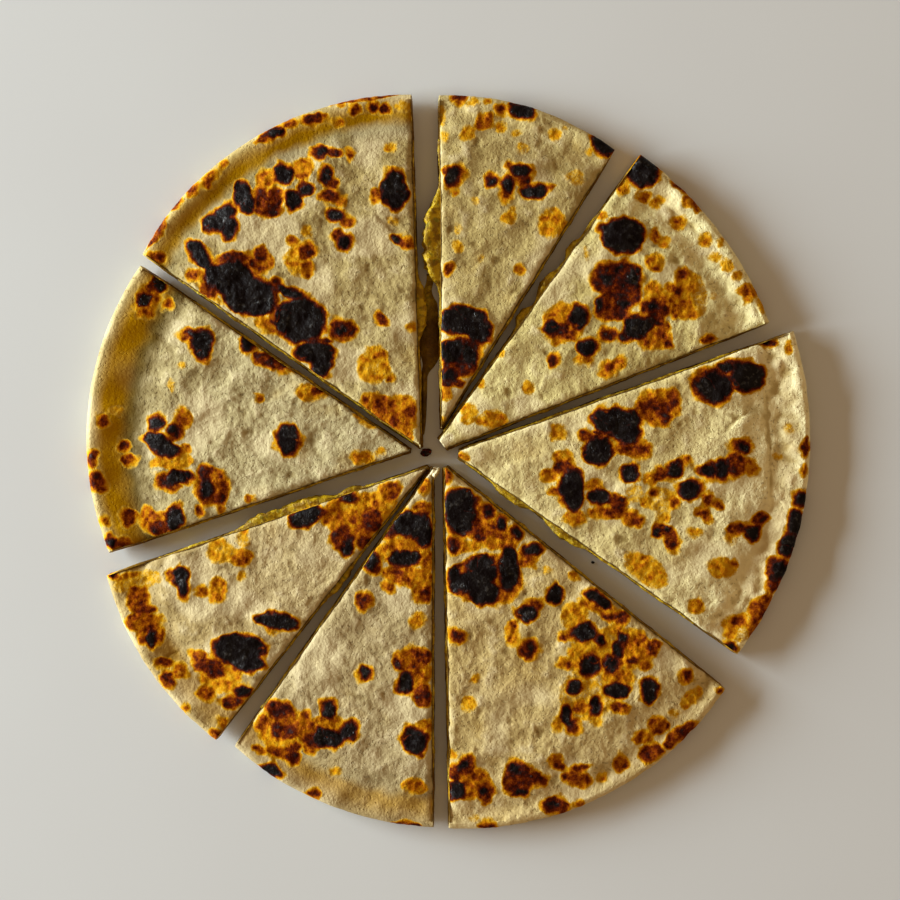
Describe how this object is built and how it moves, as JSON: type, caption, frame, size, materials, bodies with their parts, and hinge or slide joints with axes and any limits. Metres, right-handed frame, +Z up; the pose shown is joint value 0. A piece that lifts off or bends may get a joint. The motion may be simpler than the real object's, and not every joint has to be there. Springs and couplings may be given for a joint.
{
  "type": "stuffed flatbread cut in slices",
  "caption": "Round stuffed flatbread with charred spots and a raised rim, cut into wedge slices that lie slightly apart and show the filling at their cuts.",
  "frame": {"origin": "under the middle of the bread's box, on the surface it lies on", "axes": "+Z up out of the bread's top; +Y along the cut between slices n and nw; +X towards slice e"},
  "size_m": [0.2422, 0.2458, 0.0087],
  "materials": {
    "dough": "griddled wheat dough: dull cream, finely wrinkled, with black, brown and golden char spots and an oily ochre sheen on parts of the rim",
    "filling": "moist mash of paneer and potato, yellow-green, crumbly, slightly glossy"
  },
  "bodies": {
    "root": {"dough_n": "dough", "filling_n": "filling", "dough_ne": "dough", "filling_ne": "filling", "dough_e": "dough", "filling_e": "filling", "dough_se": "dough", "filling_se": "filling", "dough_s": "dough", "filling_s": "filling", "dough_sw": "dough", "filling_sw": "filling", "dough_w": "dough", "filling_w": "filling", "dough_nw": "dough", "filling_nw": "filling", "filling_smear": "filling", "burnt_crumb": "dough"}
  },
  "joints": []
}
